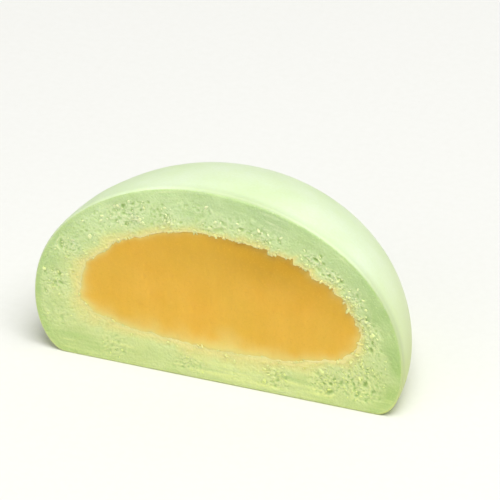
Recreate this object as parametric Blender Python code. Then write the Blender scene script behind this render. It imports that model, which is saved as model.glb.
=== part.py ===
"""Half of a round steamed bun, cut from top to base, with the mung bean filling that shows in the cut.

Metres, +Z up. The bun stands on its flat base at Z = 0, +X runs along the cut and the cut faces -Y. The origin is
the middle of the half's own box, at the base.
"""

import math
import random

import bmesh
import bpy

# The whole bun, before the cut.
BUN_RADIUS = 0.0375
BUN_HEIGHT = 0.0420
BUN_WIDEST_HEIGHT = 0.0112
BUN_BASE_RADIUS = 0.0318
BUN_CORNER_POWER = 2.0
BUN_DOME_POWER = 2.04
BUN_DEPTH_SHARE = 0.95

# The ball of filling inside it, flattened at the bottom.
FILLING_RADIUS = 0.0284
FILLING_BOTTOM = 0.0080
FILLING_WIDEST_HEIGHT = 0.0160
FILLING_TOP = 0.0322
FILLING_DOME_POWER = 2.0
FILLING_FLOOR_POWER = 3.0
FILLING_OFFSET_X = 0.0005
POCKET_GAP = 0.0003

# How far the hand-rolled shape departs from a turned one.
LOBES = 3
LOBE_SHARE = 0.006
LOBE_TURN = 1.1
LEAN = 0.0006
SLOPE_SHARE = 0.012

# The seam between filling and crumb, which strays in and out as it goes round the cut.
SEAM_STRAY = 0.00035
SEAM_WAVES = ((7.0, 0.6), (16.0, 0.4))
SEAM_SIDE_TURN = 2.3

# The crumb that the knife opened.
PORE_PITCH = 0.0021
PORE_JITTER = 0.4
PORE_RADIUS = 0.00125
PORE_SMALLEST_SHARE = 0.45
PORE_DEPTH = 0.00060
PORE_SEED = 11

# The paste, set back from the crumb and smeared by the knife.
FILLING_SET_BACK = 0.00035
SMEAR_DEPTH = 0.00025
SMEAR_WAVELENGTH = 0.011
SMEAR_SLANT = 90

# Mesh density.
CURVE_STEPS = 240
BASE_STATIONS = 26
DOME_STATIONS = 32
SKIN_STEPS = 28
POCKET_STEPS = 12
CRUMB_ROWS = 11
PASTE_ROWS = 8
MERGE_DISTANCE = 1e-7
SHARP_ANGLE = math.radians(50)


def superellipse_quarter(half_width, half_height, power):
    """(across, up) points from the widest point to the top of a superellipse."""
    angles = [math.pi / 2 * step / CURVE_STEPS for step in range(CURVE_STEPS + 1)]
    return [
        (half_width * abs(math.cos(angle)) ** (2 / power), half_height * math.sin(angle) ** (2 / power))
        for angle in angles
    ]


def spread_evenly(points, stations):
    """The polyline as that many equal steps along its length, both ends kept."""
    lengths = [0.0]
    for start, end in zip(points, points[1:]):
        lengths.append(lengths[-1] + math.dist(start, end))
    spread = []
    segment = 0
    for station in range(stations + 1):
        target = lengths[-1] * station / stations
        while segment < len(points) - 2 and lengths[segment + 1] < target:
            segment += 1
        share = (target - lengths[segment]) / (lengths[segment + 1] - lengths[segment])
        start, end = points[segment], points[segment + 1]
        spread.append(tuple(a + (b - a) * min(share, 1.0) for a, b in zip(start, end)))
    return spread


def half_outline(below, above, widest_height):
    """(radius, height) stations, bottom to top, of two curves that run down and up from the widest point."""
    floor = [(across, widest_height - down) for across, down in reversed(below)]
    crown = [(across, widest_height + up) for across, up in above]
    return spread_evenly(floor, BASE_STATIONS) + spread_evenly(crown, DOME_STATIONS)[1:]


def bun_outline():
    """The bun's skin: a flat base, a rounded lower edge and a dome."""
    corner = superellipse_quarter(BUN_RADIUS - BUN_BASE_RADIUS, BUN_WIDEST_HEIGHT, BUN_CORNER_POWER)
    corner = [(BUN_BASE_RADIUS + across, down) for across, down in corner]
    base_middle = (0.0, BUN_WIDEST_HEIGHT)
    dome = superellipse_quarter(BUN_RADIUS, BUN_HEIGHT - BUN_WIDEST_HEIGHT, BUN_DOME_POWER)
    return half_outline([*corner, base_middle], dome, BUN_WIDEST_HEIGHT)


def filling_outline(gap):
    """The filling, or at a gap around it the pocket that it sits in."""
    width = FILLING_RADIUS + gap
    floor = superellipse_quarter(width, FILLING_WIDEST_HEIGHT - FILLING_BOTTOM + gap, FILLING_FLOOR_POWER)
    crown = superellipse_quarter(width, FILLING_TOP - FILLING_WIDEST_HEIGHT + gap, FILLING_DOME_POWER)
    return half_outline(floor, crown, FILLING_WIDEST_HEIGHT)


def hand_shaped(x, y, z):
    """The point moved as a hand-rolled bun departs from a turned one. The base and the cut stay flat."""
    swell = 1 + LOBE_SHARE * math.cos(LOBES * math.atan2(y, x) + LOBE_TURN)
    lean = LEAN * math.sin(math.pi * z / BUN_HEIGHT)
    slope = 1 - SLOPE_SHARE * math.sin(math.pi / 2 * x / BUN_RADIUS)
    return x * swell - lean, y * swell * BUN_DEPTH_SHARE, z * slope


def seam_stray(share, side):
    """How far the seam strays outward, at a share of the way up one side of the cut."""
    turn = SEAM_SIDE_TURN * side
    stray = sum(size * math.sin(2 * math.pi * waves * share + turn * waves) for waves, size in SEAM_WAVES)
    return SEAM_STRAY * stray * math.sin(math.pi * share)


def skin_arc(radius, height):
    """The skin at one height, from the cut's right side round the back to its left."""
    angles = [math.pi * step / SKIN_STEPS for step in range(SKIN_STEPS + 1)]
    return [hand_shaped(radius * math.cos(around), radius * math.sin(around), height) for around in angles]


def pocket_arc(radius, height, share):
    """The filling or its pocket at one height, the same way round. The seam's stray fades out behind the cut."""
    arc = []
    for step in range(POCKET_STEPS + 1):
        around = math.pi * step / POCKET_STEPS
        side = 2 * step // (POCKET_STEPS + 1)
        reach = radius + seam_stray(share, side) * math.cos(around) ** 8
        arc.append(hand_shaped(FILLING_OFFSET_X + reach * math.cos(around), reach * math.sin(around), height))
    return arc


def cut_row(start, end, rows, depth_at):
    """The points between two points of the cut, each moved behind the knife's plane. The ends aren't in it."""
    points = []
    for row in range(1, rows):
        share = row / rows
        x = start[0] + (end[0] - start[0]) * share
        z = start[2] + (end[2] - start[2]) * share
        points.append((x, depth_at(x, z, share), z))
    return points


def opened_pores():
    """(x, z, radius) of each opened pore, one near each point of a lattice over the cut."""
    draw = random.Random(PORE_SEED)
    columns = int(2 * BUN_RADIUS / PORE_PITCH) + 1
    lines = int(BUN_HEIGHT / PORE_PITCH) + 1
    return [
        (
            (column - columns / 2 + draw.uniform(-PORE_JITTER, PORE_JITTER)) * PORE_PITCH,
            (line + draw.uniform(-PORE_JITTER, PORE_JITTER)) * PORE_PITCH,
            PORE_RADIUS * draw.uniform(PORE_SMALLEST_SHARE, 1.0),
        )
        for column in range(columns + 1)
        for line in range(lines + 1)
    ]


def crumb_depth(x, z, share, pores):
    """How far behind the knife's plane the crumb lies, at a share of the way from the skin to the filling."""
    deepest = 0.0
    for pore_x, pore_z, radius in pores:
        nearness = 1 - ((x - pore_x) ** 2 + (z - pore_z) ** 2) / radius**2
        deepest = max(deepest, nearness * radius / PORE_RADIUS)
    return PORE_DEPTH * deepest * math.sqrt(math.sin(math.pi * share))


def paste_depth(x, z, share):
    """How far behind the knife's plane the paste lies, at a share of the way from its edge to its middle."""
    across = math.sin(2 * math.pi * x / SMEAR_WAVELENGTH + SMEAR_SLANT * z)
    upward = math.cos(2 * math.pi * z / SMEAR_WAVELENGTH)
    return FILLING_SET_BACK + SMEAR_DEPTH * across * upward * math.sin(math.pi * share)


def lofted(name, loops):
    """A closed solid through loops of as many points each. Its first and last loops are zipped shut by merging."""
    mesh = bmesh.new()
    rings = [[mesh.verts.new(point) for point in loop] for loop in loops]
    for low, high in zip(rings, rings[1:]):
        for here in range(len(low)):
            there = (here + 1) % len(low)
            mesh.faces.new((low[here], low[there], high[there], high[here]))
    bmesh.ops.remove_doubles(mesh, verts=mesh.verts, dist=MERGE_DISTANCE)
    bmesh.ops.triangulate(mesh, faces=mesh.faces)
    bmesh.ops.recalc_face_normals(mesh, faces=mesh.faces)
    data = bpy.data.meshes.new(name)
    mesh.to_mesh(data)
    mesh.free()
    data.shade_smooth()
    data.set_sharp_from_angle(angle=SHARP_ANGLE)
    made = bpy.data.objects.new(name, data)
    bpy.context.scene.collection.objects.link(made)
    return made


def make_dough():
    """The dough: its skin, the crumb in the cut and the pocket that the filling sits in."""
    pores = opened_pores()
    skin_stations = bun_outline()
    pocket_stations = filling_outline(gap=POCKET_GAP)
    loops = []
    for station, (skin_point, pocket_point) in enumerate(zip(skin_stations, pocket_stations)):
        skin = skin_arc(*skin_point)
        pocket = pocket_arc(*pocket_point, station / (len(skin_stations) - 1))[::-1]
        left = cut_row(skin[-1], pocket[0], CRUMB_ROWS, lambda x, z, share: crumb_depth(x, z, share, pores))
        right = cut_row(skin[0], pocket[-1], CRUMB_ROWS, lambda x, z, share: crumb_depth(x, z, share, pores))
        loops.append(skin + left + pocket + right[::-1])
    return lofted("bun_dough", loops)


def make_filling():
    """The mung bean paste, from its face in the cut to its round back inside the dough."""
    middle_x = hand_shaped(FILLING_OFFSET_X, 0.0, FILLING_WIDEST_HEIGHT)[0]
    middle = (middle_x, FILLING_SET_BACK, (FILLING_BOTTOM + FILLING_TOP) / 2)
    stations = filling_outline(gap=0.0)
    loops = []
    for station, point in enumerate(stations):
        wall = [(x, max(y, FILLING_SET_BACK), z) for x, y, z in pocket_arc(*point, station / (len(stations) - 1))]
        left = cut_row(wall[-1], middle, PASTE_ROWS, paste_depth)
        right = cut_row(wall[0], middle, PASTE_ROWS, paste_depth)
        loops.append(wall + left + [middle] + right[::-1])
    return lofted("bun_filling", loops)


def dress(made, name, colour, roughness, subsurface):
    """Gives an object its own plain material. The colour is linear red, green and blue."""
    material = bpy.data.materials.new(name)
    material.use_nodes = True
    shader = material.node_tree.nodes["Principled BSDF"]
    shader.inputs["Base Color"].default_value = (*colour, 1.0)
    shader.inputs["Roughness"].default_value = roughness
    shader.inputs["Metallic"].default_value = 0.0
    shader.inputs["Subsurface Weight"].default_value = subsurface
    made.data.materials.append(material)


def centre_over_base(objects):
    """Moves the objects together, so that the origin is the middle of their box at the base."""
    points = [vertex.co for made in objects for vertex in made.data.vertices]
    middle_x = (min(point.x for point in points) + max(point.x for point in points)) / 2
    middle_y = (min(point.y for point in points) + max(point.y for point in points)) / 2
    for made in objects:
        made.location = (-middle_x, -middle_y, 0.0)


def main():
    """Clears the scene and builds the half bun."""
    for old in list(bpy.data.objects):
        bpy.data.objects.remove(old)
    dough = make_dough()
    filling = make_filling()
    dress(dough, "steamed_dough", colour=(0.66, 0.85, 0.47), roughness=0.62, subsurface=0.3)
    dress(filling, "mung_bean_paste", colour=(0.84, 0.50, 0.11), roughness=0.48, subsurface=0.2)
    centre_over_base([dough, filling])


main()
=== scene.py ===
"""The looks of half a steamed bun: pale green dough with an opened crumb, and mung bean paste inside it.

The half stands on its base with +X along the cut and the cut facing -Y. Two meshes take the place of the
two CAD solids: the dough, one closed skin that turns in at the knife's edge to the crumb and on into the
pocket, and the paste in that pocket. A third mesh holds the loose crumbs on the cut. Lengths are in
millimetres until a mesh is made, and in metres from there on.
"""

import logging
import math
from abc import ABC, abstractmethod
from dataclasses import dataclass, field
from enum import Enum, IntEnum
from typing import Any

import bmesh
import bpy
import numpy as np
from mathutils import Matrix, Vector
from mathutils.geometry import delaunay_2d_cdt


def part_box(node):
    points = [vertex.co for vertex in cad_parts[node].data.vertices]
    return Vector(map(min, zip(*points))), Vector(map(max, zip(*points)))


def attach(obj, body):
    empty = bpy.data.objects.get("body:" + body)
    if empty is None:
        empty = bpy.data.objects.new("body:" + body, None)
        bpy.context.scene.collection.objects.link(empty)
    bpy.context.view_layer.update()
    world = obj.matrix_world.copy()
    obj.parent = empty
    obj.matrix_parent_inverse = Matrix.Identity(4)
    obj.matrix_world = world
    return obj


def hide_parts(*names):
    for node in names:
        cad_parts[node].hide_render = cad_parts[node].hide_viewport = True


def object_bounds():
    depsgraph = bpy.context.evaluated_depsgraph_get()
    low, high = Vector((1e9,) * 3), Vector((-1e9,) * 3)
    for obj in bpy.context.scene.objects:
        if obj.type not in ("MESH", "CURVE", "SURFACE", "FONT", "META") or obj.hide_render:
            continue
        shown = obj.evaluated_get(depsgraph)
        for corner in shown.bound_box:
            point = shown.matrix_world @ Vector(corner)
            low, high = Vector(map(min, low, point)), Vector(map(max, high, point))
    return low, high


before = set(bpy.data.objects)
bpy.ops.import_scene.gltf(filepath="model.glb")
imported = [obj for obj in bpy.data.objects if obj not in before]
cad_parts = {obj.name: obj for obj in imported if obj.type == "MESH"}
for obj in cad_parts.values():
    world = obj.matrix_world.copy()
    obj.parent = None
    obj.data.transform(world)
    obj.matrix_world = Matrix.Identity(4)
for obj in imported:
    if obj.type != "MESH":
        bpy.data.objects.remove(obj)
CAD_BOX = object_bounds()

LOG = logging.getLogger("steamed_bun")
MM = 0.001
DOUGH_NODE = "bun_dough"
PASTE_NODE = "bun_filling"
BODY = "root"

# What a layer of colour follows at the foot of the bun: 1 at the base, and 0 at foot_height_mm.
BASE = "base"

# Sockets of the Mix node that have no names of their own.
MIX_FACTOR, MIX_A, MIX_B, MIX_RESULT = 0, 6, 7, 2

# For a net of triangles: only those inside the outline, and how close two points may be before they join.
INSIDE_ONLY = 1
NET_WELD_MM = 1e-5

# Pores and streaks are carried as 0 to 1, and this is neither.
EVEN = 0.5

# Smooth noise repeats after this many cells, and is turned off the axes, so that no rows show.
NOISE_SIDE = 256
NOISE_TURN = (0.83, 0.56)


class Slot(Enum):
    """The record's material slots."""

    DOUGH = "steamed_dough"
    PASTE = "mung_bean_paste"


class DoughFace(IntEnum):
    """Which finish a face of the dough takes, in the order of its material slots."""

    SKIN = 0
    CRUMB = 1
    UNDERSIDE = 2


class Spread(Enum):
    """The names of the values that the meshes carry from point to point for their finishes."""

    PORE = "pore_depth"
    STAIN = "paste_stain"
    BAND = "under_skin"
    EDGE = "paste_edge"
    SHADE = "paste_shade"
    DRAG = "blade_drag"


class PatternKind(Enum):
    """The texture node behind a pattern, and which of its outputs is read."""

    NOISE = ("ShaderNodeTexNoise", "Fac")
    CELLS = ("ShaderNodeTexVoronoi", "Distance")


# --------------------------------------------------------------------------------------------------------
# Colours and nodes
# --------------------------------------------------------------------------------------------------------


def linear(hex_colour: str) -> tuple[float, float, float, float]:
    """Turns an sRGB colour into the linear one that Blender works in.

    Args:
        hex_colour: the colour as #RRGGBB.

    Returns:
        Linear red, green, blue and an alpha of 1.
    """
    channels = [int(hex_colour[start : start + 2], 16) / 255 for start in (1, 3, 5)]
    red, green, blue = (c / 12.92 if c <= 0.04045 else ((c + 0.055) / 1.055) ** 2.4 for c in channels)
    return red, green, blue, 1.0


def add_node(
    tree: bpy.types.NodeTree,
    kind: str,
    inputs: dict[str | int, Any] | None = None,
    settings: dict[str, Any] | None = None,
    output: str | int = 0,
) -> bpy.types.NodeSocket:
    """Adds a node, sets its options, and fills or links its inputs.

    Args:
        tree: the node tree that it goes into.
        kind: the node's type, such as ShaderNodeMix.
        inputs: what each input holds, by name or number: a value, or another node's output to link.
        settings: the node's options by name.
        output: the name or number of the output that is wanted.

    Returns:
        The socket of that output.
    """
    node = tree.nodes.new(kind)
    for name, value in (settings or {}).items():
        setattr(node, name, value)
    for key, value in (inputs or {}).items():
        if isinstance(value, bpy.types.NodeSocket):
            tree.links.new(value, node.inputs[key])
        else:
            node.inputs[key].default_value = value
    return node.outputs[output]


# --------------------------------------------------------------------------------------------------------
# Finishes
# --------------------------------------------------------------------------------------------------------


@dataclass(frozen=True)
class Pattern:
    """A procedural pattern: the size of its features, its finer layers, and how far it is drawn out."""

    size_mm: float
    detail: float = 0.0
    stretch: tuple[float, float, float] = (1.0, 1.0, 1.0)
    kind: PatternKind = PatternKind.NOISE


@dataclass(frozen=True)
class Layer:
    """A colour over those below it. It shows as what it follows goes from start to full, up to strength.

    With a base_colour, it turns into that one toward the foot of the bun.
    """

    colour: str
    follows: str | Spread
    start: float = 0.0
    full: float = 1.0
    strength: float = 1.0
    base_colour: str = ""


@dataclass(frozen=True)
class Relief:
    """A fine relief in the shading. It rises by depth_mm as what it follows goes from start to full."""

    follows: str
    depth_mm: float
    start: float = 0.0
    full: float = 1.0


@dataclass(frozen=True)
class Finish(ABC):
    """What all the finishes share: how patterns, layers of colour and relief become a material."""

    name: str
    ground: str

    # The pattern that the roughness follows, the roughness at both ends of a span of it, and that span.
    rough_where: str
    roughness: tuple[float, float]
    rough_span: tuple[float, float] = (0.3, 0.7)

    # The highlight, and a moist film over it.
    index: float = 1.5
    specular: float = 0.5
    moist: float = 0.0
    moist_roughness: float = 0.03

    # How much light passes under the surface, and how far its red, green and blue go there.
    glow: float = 0.0
    glow_mm: float = 1.2
    glow_reach: tuple[float, float, float] = (1.1, 1.1, 0.6)

    # How far up the colours of the foot reach.
    foot_height_mm: float = 38.0

    @abstractmethod
    def patterns(self) -> dict[str, Pattern]:
        """The patterns by name."""

    @abstractmethod
    def layers(self) -> tuple[Layer, ...]:
        """The layers of colour, from the lowest up."""

    def reliefs(self) -> tuple[Relief, ...]:
        """The reliefs, from the coarsest to the finest. A finish without any is smooth."""
        return ()

    def value(self, tree: bpy.types.NodeTree, follows: str | Spread) -> bpy.types.NodeSocket:
        """Adds the nodes that read what a layer or a relief follows.

        Args:
            tree: the material's node tree.
            follows: a value that the mesh carries, BASE, or the name of a pattern.

        Returns:
            The value's socket.
        """
        if isinstance(follows, Spread):
            settings = {"attribute_name": follows.value}
            return add_node(tree, "ShaderNodeAttribute", settings=settings, output="Fac")
        place = add_node(tree, "ShaderNodeTexCoord", output="Object")
        if follows == BASE:
            height = add_node(tree, "ShaderNodeSeparateXYZ", {"Vector": place}, output="Z")
            limits = {"Value": height, "From Min": self.foot_height_mm * MM, "From Max": 0.0}
            return add_node(tree, "ShaderNodeMapRange", limits)
        pattern = self.patterns()[follows]
        node, output = pattern.kind.value
        scale = tuple(1.0 / share for share in pattern.stretch)
        inputs = {
            "Vector": add_node(tree, "ShaderNodeMapping", {"Vector": place, "Scale": scale}),
            "Scale": 1.0 / (pattern.size_mm * MM),
            "Detail": pattern.detail,
        }
        return add_node(tree, node, inputs, output=output)

    def colour(
        self, tree: bpy.types.NodeTree, values: dict[str | Spread, bpy.types.NodeSocket]
    ) -> bpy.types.NodeSocket:
        """Adds the layers of colour over the ground.

        Args:
            tree: the material's node tree.
            values: the sockets of what the layers follow.

        Returns:
            The colour's socket.
        """
        mix = {"data_type": "RGBA"}
        colour = linear(self.ground)
        for layer in self.layers():
            paint = linear(layer.colour)
            if layer.base_colour:
                ends = {MIX_FACTOR: values[BASE], MIX_A: paint, MIX_B: linear(layer.base_colour)}
                paint = add_node(tree, "ShaderNodeMix", ends, mix, MIX_RESULT)
            limits = {"From Min": layer.start, "From Max": layer.full, "To Max": layer.strength}
            share = add_node(tree, "ShaderNodeMapRange", {"Value": values[layer.follows], **limits})
            inputs = {MIX_FACTOR: share, MIX_A: colour, MIX_B: paint}
            colour = add_node(tree, "ShaderNodeMix", inputs, mix, MIX_RESULT)
        return colour

    def material(self) -> bpy.types.Material:
        """Makes the material.

        Returns:
            The material, named for what the real one is and how its surface was made.
        """
        made = bpy.data.materials.new(self.name)
        made.use_nodes = True
        tree = made.node_tree
        followed = dict.fromkeys(step.follows for step in (*self.layers(), *self.reliefs()))
        values = {follows: self.value(tree, follows) for follows in followed}
        (start, full), (smoothest, roughest) = self.rough_span, self.roughness
        limits = {"From Min": start, "From Max": full, "To Min": smoothest, "To Max": roughest}
        roughness = add_node(tree, "ShaderNodeMapRange", {"Value": values[self.rough_where], **limits})
        linked = {"Base Color": self.colour(tree, values), "Roughness": roughness}
        for relief in self.reliefs():
            limits = {"Value": values[relief.follows], "From Min": relief.start, "From Max": relief.full}
            height = add_node(tree, "ShaderNodeMapRange", limits)
            inputs = {"Height": height, "Distance": relief.depth_mm * MM, "Strength": 1.0}
            if "Normal" in linked:
                inputs["Normal"] = linked["Normal"]
            linked["Normal"] = add_node(tree, "ShaderNodeBump", inputs)
        shader = tree.nodes["Principled BSDF"]
        for name, socket in linked.items():
            tree.links.new(socket, shader.inputs[name])
        constants = {
            "IOR": self.index,
            "Specular IOR Level": self.specular,
            "Coat Weight": self.moist,
            "Coat Roughness": self.moist_roughness,
            "Subsurface Weight": self.glow,
            "Subsurface Radius": self.glow_reach,
            "Subsurface Scale": self.glow_mm * MM,
        }
        for name, value in constants.items():
            shader.inputs[name].default_value = value
        return made


@dataclass(frozen=True)
class SteamedSkin(Finish):
    """Wheat dough coloured with mung bean, proved to a tight skin and steamed.

    Steam leaves a smooth satin film of set starch. The eye sees a pale, slightly glowing green with a soft
    broad highlight, fine pinprick dimples and faint cloudy patches, and no crust or browning.
    """

    name: str = "steamed_dough_skin_smooth_satin"
    ground: str = "#E8F7D8"
    green: str = "#DBEFC0"
    shaded_foot: str = "#CEDA74"
    cut_edge_green_and_shade: str = "#ABBA8A"
    patch_mm: float = 13.0
    dimple_mm: float = 0.55
    pucker_mm: float = 3.2
    rough_where: str = "patches"
    roughness: tuple[float, float] = (0.39, 0.50)
    index: float = 1.45
    specular: float = 0.32
    moist: float = 0.06
    moist_roughness: float = 0.42
    glow: float = 0.35
    foot_height_mm: float = 32.0

    def patterns(self) -> dict[str, Pattern]:
        """Cloudy patches, pinprick dimples and the puckers between them."""
        patches, dimples = Pattern(self.patch_mm, 2.0), Pattern(self.dimple_mm, 3.0)
        return {"patches": patches, "dimples": dimples, "puckers": Pattern(self.pucker_mm, 2.0)}

    def layers(self) -> tuple[Layer, ...]:
        """Green patches, a yellower foot of painted shade and reflected light, a dimple speckle, and a
        deeper green at the knife's edge.

        Returns:
            The layers, from the lowest up.
        """
        return (
            Layer(self.green, "patches", start=0.3, full=0.7),
            # Painted shade and painted yellow light reflected from below, toward the foot.
            Layer(self.shaded_foot, BASE, strength=0.9),
            # The dimples' speckle takes the shaded foot's colour.
            Layer(self.shaded_foot, "dimples", start=0.35, full=0.65, strength=0.10),
            # The thinner skin at the knife's edge, greener, and painted shade that dims the rim's highlight.
            Layer(self.cut_edge_green_and_shade, Spread.BAND),
        )

    def reliefs(self) -> tuple[Relief, ...]:
        """The puckers and the dimples."""
        return Relief("puckers", 0.05), Relief("dimples", 0.022)


@dataclass(frozen=True)
class OpenCrumb(Finish):
    """The inside of steamed dough where a knife went through it.

    Fine gas cells lie open. The eye sees a matt, pale green sponge whose cells are deeper green with painted
    shade, whose cell walls are pale flecks of painted highlight, a denser band under the skin, and a cream
    stain beside the paste.
    """

    name: str = "steamed_dough_crumb_knife_cut"
    ground: str = "#DCEFB7"
    body: str = "#C4DC9A"
    # Painted shade in the pores, and the colour of the blade's dark streaks.
    cell: str = "#AAC978"
    deep_pore_shade: str = "#7F9C48"
    dense: str = "#B8D196"
    base_dense: str = "#AAC772"
    soaked: str = "#DDE49C"
    stain: str = "#E6D988"
    cream: str = "#F5EAA0"
    wall_highlight_and_fleck: str = "#F2F8CC"
    base_wall_highlight_and_fleck: str = "#E8F09C"
    shaded_foot: str = "#D4D68C"
    cloud_mm: float = 4.0
    grain_mm: float = 0.32
    cell_mm: float = 0.46
    rough_where: str = "grain"
    roughness: tuple[float, float] = (0.70, 0.86)
    index: float = 1.42
    glow: float = 0.4
    glow_mm: float = 1.3
    glow_reach: tuple[float, float, float] = (1.1, 1.1, 0.55)

    def patterns(self) -> dict[str, Pattern]:
        """Clouds, the grain and the finest cells, which are drawn a little coarse so that they show."""
        clouds, grain = Pattern(self.cloud_mm, 3.0), Pattern(self.grain_mm, 4.0)
        return {"clouds": clouds, "grain": grain, "cells": Pattern(self.cell_mm, kind=PatternKind.CELLS)}

    def layers(self) -> tuple[Layer, ...]:
        """Dough, its closed band, painted pore shade and wall highlight, flecks, the blade's streaks, and
        the paste's stain.

        Returns:
            The layers, from the lowest up.
        """
        return (
            Layer(self.body, "clouds", start=0.3, full=0.7),
            # Painted shade and painted yellow light reflected from below, toward the foot of the cut.
            Layer(self.shaded_foot, BASE, strength=0.55),
            # Denser crumb under the skin, with painted shade at the left and the right.
            Layer(self.dense, Spread.BAND, base_colour=self.base_dense),
            # Painted shade in the pores, darkest where they are deepest.
            Layer(self.cell, Spread.PORE, start=0.54, full=0.90, strength=0.75),
            Layer(self.deep_pore_shade, Spread.PORE, start=0.78, strength=0.7),
            # Painted highlight on the cell walls that stand forward.
            Layer(self.wall_highlight_and_fleck, Spread.PORE, 0.46, 0.22, strength=0.55, base_colour=self.base_wall_highlight_and_fleck),
            # Painted shade in the hollows of the finest cells.
            Layer(self.cell, "cells", start=0.42, full=0.0, strength=0.22),
            Layer(self.wall_highlight_and_fleck, "grain", 0.57, 0.72, strength=0.35, base_colour=self.base_wall_highlight_and_fleck),
            Layer(self.wall_highlight_and_fleck, Spread.DRAG, 0.55, 0.95, strength=0.7, base_colour=self.base_wall_highlight_and_fleck),
            Layer(self.cell, Spread.DRAG, start=0.45, full=0.05, strength=0.6),
            Layer(self.soaked, Spread.STAIN, full=0.45, strength=0.8),
            Layer(self.stain, Spread.STAIN, start=0.3, strength=0.9),
            # The cream beside the seam is the soaked edge, brightened there as painted light over the shade
            # line where paste meets crumb.
            Layer(self.cream, Spread.STAIN, start=0.72, full=0.98, strength=0.85),
        )

    def reliefs(self) -> tuple[Relief, ...]:
        """The finest cells and the grain."""
        return Relief("cells", 0.10), Relief("grain", 0.07)


@dataclass(frozen=True)
class PaperedUnderside(Finish):
    """The foot of the bun, set against steaming paper.

    The paper leaves it flat and matt. The eye sees faint pulled creases with a drier, paler green between.
    """

    name: str = "steamed_dough_underside_papered"
    ground: str = "#C6DC9C"
    dry: str = "#DCEBBE"
    crease_mm: float = 2.4
    rough_where: str = "creases"
    roughness: tuple[float, float] = (0.66, 0.80)
    index: float = 1.42
    glow: float = 0.3

    def patterns(self) -> dict[str, Pattern]:
        """Creases, three times as long as they are wide."""
        return {"creases": Pattern(self.crease_mm, 5.0, stretch=(1.0, 3.0, 1.0))}

    def layers(self) -> tuple[Layer, ...]:
        """Dry dough between the creases."""
        return (Layer(self.dry, "creases", start=0.35, full=0.65),)

    def reliefs(self) -> tuple[Relief, ...]:
        """The creases."""
        return (Relief("creases", 0.12),)


@dataclass(frozen=True)
class MungPaste(Finish):
    """Skinned mung beans cooked down with sugar and oil, sieved to a paste and cut by a knife.

    The eye sees a warm gold, close to custard, with a soft moist sheen, a grain finer than semolina, and
    faint upright streaks where the blade dragged it. It thins to pale yellow where it soaks into the dough.
    """

    name: str = "mung_bean_paste_knife_smeared"
    ground: str = "#E8B030"
    light: str = "#EEBA42"
    deep: str = "#C8980A"
    edge: str = "#E6D67E"
    olive: str = "#DFB332"
    streak_mm: float = 2.2
    mottle_mm: float = 6.0
    cloud_mm: float = 14.0
    grain_mm: float = 0.34
    rough_where: str = "grain"
    roughness: tuple[float, float] = (0.39, 0.54)
    index: float = 1.46
    glow: float = 0.3
    glow_mm: float = 1.8
    glow_reach: tuple[float, float, float] = (1.0, 0.6, 0.2)

    def patterns(self) -> dict[str, Pattern]:
        """The blade's upright streaks, mottles and clouds of uneven cooking, and the sieved beans' grain.

        Returns:
            The patterns by name.
        """
        return {
            "streaks": Pattern(self.streak_mm, 2.0, stretch=(1.0, 1.0, 6.0)),
            "mottles": Pattern(self.mottle_mm, 3.0),
            "clouds": Pattern(self.cloud_mm, 2.0),
            "grain": Pattern(self.grain_mm, 3.0),
        }

    def layers(self) -> tuple[Layer, ...]:
        """Gold of uneven depth, painted shade at the top and the right, the grain, and the pale soaked edge.

        Returns:
            The layers, from the lowest up.
        """
        return (
            Layer(self.light, "mottles", start=0.3, full=0.7),
            Layer(self.olive, "clouds", start=0.35, full=0.65, strength=0.6),
            Layer(self.deep, "streaks", start=0.3, full=0.7, strength=0.12),
            # Painted shade: darker toward the top and under the dough's edge at the upper right, partly a
            # deeper gold there.
            Layer(self.deep, Spread.SHADE),
            Layer(self.light, "grain", start=0.55, full=0.75, strength=0.30),
            Layer(self.deep, "grain", start=0.42, full=0.26, strength=0.30),
            Layer(self.edge, Spread.EDGE),
        )

    def reliefs(self) -> tuple[Relief, ...]:
        """The streaks and the grain."""
        return Relief("streaks", 0.03, start=0.3, full=0.7), Relief("grain", 0.045)


@dataclass(frozen=True)
class StudioCard(Finish):
    """Matt white card that the bun stands on. The eye sees an even pale surface with a soft shadow."""

    name: str = "studio_card_matt_white"
    ground: str = "#EEEEEC"
    shade: str = "#EAEAE7"
    fibre_mm: float = 1.5
    rough_where: str = "fibres"
    roughness: tuple[float, float] = (0.85, 0.85)

    def patterns(self) -> dict[str, Pattern]:
        """Pressed fibres."""
        return {"fibres": Pattern(self.fibre_mm, 2.0)}

    def layers(self) -> tuple[Layer, ...]:
        """A trace of grey between the fibres."""
        return (Layer(self.shade, "fibres"),)


# --------------------------------------------------------------------------------------------------------
# Shapes
# --------------------------------------------------------------------------------------------------------


@dataclass(frozen=True)
class Ramp:
    """An eased 0 to 1 as a value goes from start to full. Full may be the smaller one."""

    start: np.ndarray | float
    full: np.ndarray | float

    def at(self, value: np.ndarray | float) -> np.ndarray:
        """The eased share at each value."""
        share = np.clip((value - self.start) / (self.full - self.start), 0.0, 1.0)
        return share * share * (3.0 - 2.0 * share)


def read_grid(grid: np.ndarray, columns: np.ndarray, rows: np.ndarray) -> np.ndarray:
    """Reads a grid between its points. Past its ends it repeats.

    Args:
        grid: the values, row by row.
        columns: where along its row each wanted point is, in steps of the grid.
        rows: which row each wanted point is at, in steps of the grid.

    Returns:
        The value at each wanted point.
    """
    left, bottom = np.floor(columns).astype(int), np.floor(rows).astype(int)
    across, up = columns - left, rows - bottom
    height, width = grid.shape
    low, high = (
        grid[row % height, left % width] * (1 - across) + grid[row % height, (left + 1) % width] * across
        for row in (bottom, bottom + 1)
    )
    return low * (1 - up) + high * up


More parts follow.
